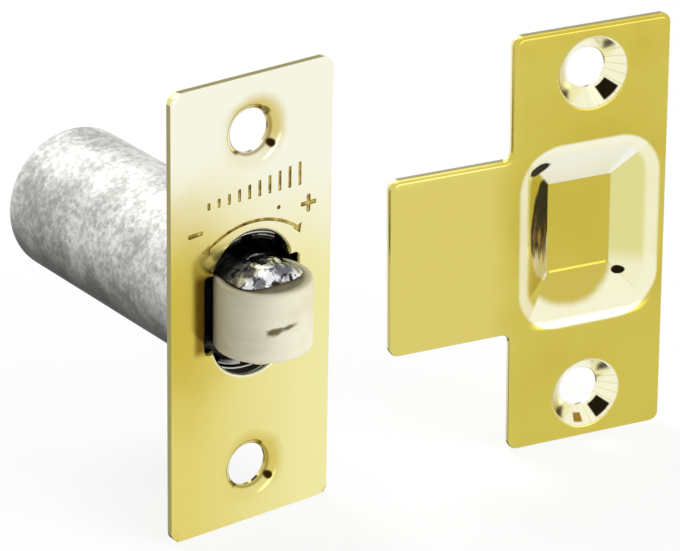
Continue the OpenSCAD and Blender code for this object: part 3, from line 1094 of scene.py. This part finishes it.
def zincFinish(name, look, sizes):
    outer = sizes["across"] / 2
    bore = outer - sizes["wall"]
    shader = newFinish(name)
    x, y, z = shader.parts()
    radius = away(x, z)
    broad = shader.clouds(140, 4, 0.6, 0.4)
    speck = shader.clouds(1100, 4, 0.75)
    spangle = shader.node("TexVoronoi", {"Vector": shader.place(), "Scale": 700.0})
    # painted shade inside, with a painted highlight on the inner edge in front
    deep = radius.smooth(bore + 0.25, bore + 0.1) * y.smooth(sizes["length"] - 0.6, sizes["length"] - 0.8)
    front = radius.smooth(outer, outer - 0.1) * y.smooth(0.4, 0.2)
    inside = deep.maths("MAXIMUM", front)
    edge = radius.smooth(bore + 0.2, bore + 0.12) * y.smooth(0.3, 0.1)
    # grey and pale in mottled patches, then painted shade on the underside and inside
    colour = shader.layers(look["grey"],
        ((broad * 0.45 + speck * 0.55).smooth(0.38, 0.62), look["pale"]),
        ((z + 5 * (broad - 0.5)).smooth(*look["underFade"]) * 0.95, look["under"]),
        (inside, insideShade),
        (inside * edge, look["rim"]))
    return shader.close(colour, 0.36 + 0.25 * speck, shader.relief(speck + 0.5 * spangle, 0.00004, 0.35), 0.8)


nylonLook = {   # the scuff in degrees round the roller and mm along it
    "tone": (0.71, 0.68, 0.53), "shade": (0.62, 0.58, 0.42), "scuff": (0.11, 0.085, 0.03),
    "scuffFrom": (-34.0, -0.5), "scuffTo": (9.0, 0.45), "scuffWide": 0.8,
}


def nylonFinish(name, look, sizes):
    axleAt = sizes["at"]
    shader = newFinish(name)
    x, y, z = shader.parts()
    cloud = shader.clouds(160, 3, 0.5)
    turned = shader.streaks((60, 60, 2600), 3, 0.6)
    around = x.maths("ARCTAN2", axleAt - y)
    (a0, z0), (a1, z1) = look["scuffFrom"], look["scuffTo"]
    along = (around - math.radians(a0)) / math.radians(a1 - a0)
    off = abs(z - (z0 + (z1 - z0) * along)) / (look["scuffWide"] * (1.1 - 0.7 * along))
    rub = shader.streaks((900, 900, 1800), 3, 0.7)
    scuff = (off + 1.6 * (rub - 0.5)).smooth(1.0, 0.1) * along.smooth(-0.02, 0.12) * along.smooth(1.05, 0.7)
    # painted shade from the fork's arms on the roller's ends, in the scuff's brown
    armShade = abs(z).smooth(4.5, 4.6) * (away(x, y, (0, axleAt)) + 0.8 * (cloud - 0.5)).smooth(6.1, 5.0)
    colour = shader.layers(look["tone"],
        ((0.7 * cloud + 0.3 * turned).smooth(0.35, 0.65), look["shade"]),
        (scuff, look["scuff"]),
        (armShade * 0.8, look["scuff"]))
    relief = shader.relief(shader.clouds(500, 3, 0.5) + 0.4 * turned, 0.00002, 0.3)
    return shader.close(colour, 0.4 + 0.1 * cloud + 0.2 * scuff, relief, 0.0)


forkLook = {"bright": (0.86, 0.87, 0.89), "greyReflection": (0.16, 0.165, 0.175), "dentAndReflection": (0.03, 0.03, 0.032)}


def forkFinish(name, look):
    # bright plating on the nose with painted grey and black reflections in patches, and painted black shade
    # where the fork runs in the case
    shader = newFinish(name)
    x, y, z = shader.parts()
    patch = shader.clouds(420, 3, 0.6)
    dentAndReflection = shader.clouds(900, 2, 0.5, 0.5)
    back = (y - 1.5 * z.smooth(1, -1) + 1.6 * (patch - 0.5)).smooth(-2.0, -1.0)
    side = (x + 1.6 * (dentAndReflection - 0.5)).smooth(-4.5, -5.5)
    shadedPart = 1 - (1 - back) * (1 - side)
    colour = shader.layers(look["bright"],
        (patch.smooth(0.42, 0.56), look["greyReflection"]),
        (dentAndReflection.smooth(0.55, 0.62), look["dentAndReflection"]),
        (shadedPart * 0.97, insideShade))
    bare = 0.25 + 0.75 * x.smooth(-3.5, -1.5)   # little mirroring on the left, which would show the faceplate
    relief = shader.relief(patch * 0.7 + dentAndReflection * 0.3, 0.00045, 1.0)
    return shader.close(colour, 0.13 + 0.3 * shadedPart, relief, bare)


sleeveLook = {"shadeBlack": (0.018, 0.017, 0.016), "rim": (0.6, 0.6, 0.58), "litLower": (0.52, 0.51, 0.49)}


def sleeveFinish(name, look, sizes):
    # near black all over as painted shade, with a painted highlight on the outer edge of the rim and painted
    # light on the lower side
    outer = sizes["across"] / 2
    shader = newFinish(name)
    x, y, z = shader.parts()
    cloud = shader.clouds(500, 3, 0.6)
    rim = away(x, z).smooth(outer - 0.35, outer - 0.15) * y.smooth(0.6, 0.4)
    litLower = (z + 4 * (cloud - 0.5) - 0.35 * x).smooth(-5.8, -8.2)
    colour = shader.layers(look["shadeBlack"],
        (rim * cloud.smooth(0.3, 0.55), look["rim"]),
        (litLower * 0.8, look["litLower"]))
    return shader.close(colour, 0.3 + 0.2 * cloud, shader.relief(cloud, 0.00002, 0.4))


def steelFinish(name, tone, rough, grain):
    shader = newFinish(name)
    cloud = shader.clouds(220, 3, 0.6)
    colour = shader.blend(cloud.smooth(0.3, 0.7), tone, darker(tone, 0.72))
    relief = shader.relief(shader.clouds(grain, 3, 0.6), 0.00001, 0.4)
    return shader.close(colour, rough + 0.12 * cloud, relief)


dress(faceplate, faceFinish("polished brass", faceBrass, faceplateSizes), "case",
    "faceplate")
paint(faceplate, grooveFinish("stamped groove"), isGroove)
paint(faceplate, plainBrass("plate back", faceBrass["left"], 0.22), lambda f: f.normal.y > 0.1)
dress(strike, strikeFinish("strike brass", strikeBrass, strikeSizes, strikePlace), "case",
    "strike_plate")
strikeBack = strikeTurn(strikePlace) @ Vector((0, 1, 0))
paint(strike, plainBrass("strike back", strikeBrass["tone"], 0.22), lambda f: f.normal.dot(strikeBack) > 0.1)
dress(tube, zincFinish("mottled zinc", zincLook, tubeSizes), "case", "case_tube")
dress(roller, nylonFinish("cream nylon", nylonLook, rollerSizes), "roller", "roller")
forkSteel = forkFinish("bright plating", forkLook)
dress(pin, forkSteel, "fork", "axle_pin")
dress(fork, forkSteel, "fork", "roller_fork")
dress(sleeve, sleeveFinish("shaded steel", sleeveLook, sleeveSizes), "sleeve",
    "adjusting_sleeve")
wireSteel = steelFinish("drawn wire", (0.34, 0.34, 0.35), 0.32, 1500)
dress(spring, wireSteel, "case", "return_spring")
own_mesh(spring)
follower = frame["nodes"]["spring_follower"]
follower.data.materials.clear()
follower.data.materials.append(steelFinish("turned steel", (0.42, 0.42, 0.41), 0.3, 900))
print("finishes on")


# floor, lamps and background

def plainFloor():
    low = min(corner[2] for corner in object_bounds())
    clearPick()
    bpy.ops.mesh.primitive_plane_add(size=6, location=(0, 0, low))
    floor = settle("floor")
    shader = newFinish("pale floor")
    shown = shader.node("LightPath", output="Is Camera Ray")
    paint = shader.node("BsdfDiffuse", {"Color": (0.9, 0.9, 0.9)})
    glow = shader.node("Emission", {"Color": (1, 1, 1), "Strength": 1.0})
    both = shader.node("MixShader", {0: shown * 0.85, 1: paint, 2: glow})
    shader.node("OutputMaterial", {"Surface": both})
    floor.data.materials.append(shader.finish)
    floor.visible_glossy = False
    floor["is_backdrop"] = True


def lamp(name, spot, target, width, height, power):
    light = bpy.data.lights.new(name, "AREA")
    light.shape = "RECTANGLE"
    light.size, light.size_y, light.energy = width, height, power
    thing = bpy.data.objects.new(name, light)
    bpy.context.scene.collection.objects.link(thing)
    thing.location = spot
    thing.rotation_euler = (Vector(target) - Vector(spot)).to_track_quat("-Z", "Y").to_euler()
    thing.visible_glossy = False   # polished metal shows the studio's light and dark sides instead


studio = {   # what polished metal mirrors: direction, half angle and soft edge in degrees, and how much
    "level": 0.95, "soft": 0.12, "softMore": 0.5, "softFrom": (0.55, -0.5, 0.65),
    "lights": [
        ((0.15, -0.98, -0.05), 7, 9, 1.0),      # window at eye level in front
        ((0.0, 0.0, 1.0), 16, 12, 1.2),         # overhead panel
        ((0.01, 0.71, 0.70), 16, 16, 1.2),      # panel over the back
    ],
    "darks": [
        ((-0.533, 0.732, -0.424), 10, 8, 0.6),
        ((0.56, 0.72, 0.42), 8, 6, 0.6),
        ((0.0, 0.64, -0.77), 14, 14, 0.85),     # dark table under the tube
    ],
}


def studioWorld():
    world = bpy.data.worlds.new("studio")
    bpy.context.scene.world = world
    world.use_nodes = True
    shader = Shader(world.node_tree)
    outputs = shader.node("LightPath").socket.node.outputs
    shown = Value(shader, outputs["Is Camera Ray"])
    mirrored = Value(shader, outputs["Is Glossy Ray"])
    way = shader.node("TexCoord", output="Generated")

    def towards(direction, edge, soft):
        # 1 inside a cone of that half angle about the direction, soft at its edge
        sides = {0: way, 1: Vector(direction).normalized()}
        facing = shader.node("VectorMath", sides, "Value", operation="DOT_PRODUCT")
        return facing.smooth(math.cos(math.radians(edge + soft)), math.cos(math.radians(edge)))

    level = studio["level"]
    for direction, edge, soft, more in studio["lights"]:
        level = level + more * towards(direction, edge, soft)
    for direction, edge, soft, less in studio["darks"]:
        level = level * (1 - less * towards(direction, edge, soft))
    soft = studio["soft"] + studio["softMore"] * towards(studio["softFrom"], 10, 95)
    seen = level * mirrored + soft * (1 - mirrored)
    strength = shown + seen * (1 - shown)
    back = shader.node("Background", {"Color": (1, 1, 1), "Strength": strength})
    shader.node("OutputWorld", {"Surface": back})


plainFloor()
lamp("top lamp", (0.0, 0.45, 0.5), (0, 0.02, 0), 0.35, 0.25, 3.0)
lamp("front lamp", (0.25, -0.58, 0.25), (0.01, 0, 0), 0.5, 0.4, 3.2)
studioWorld()
print("stage lit")
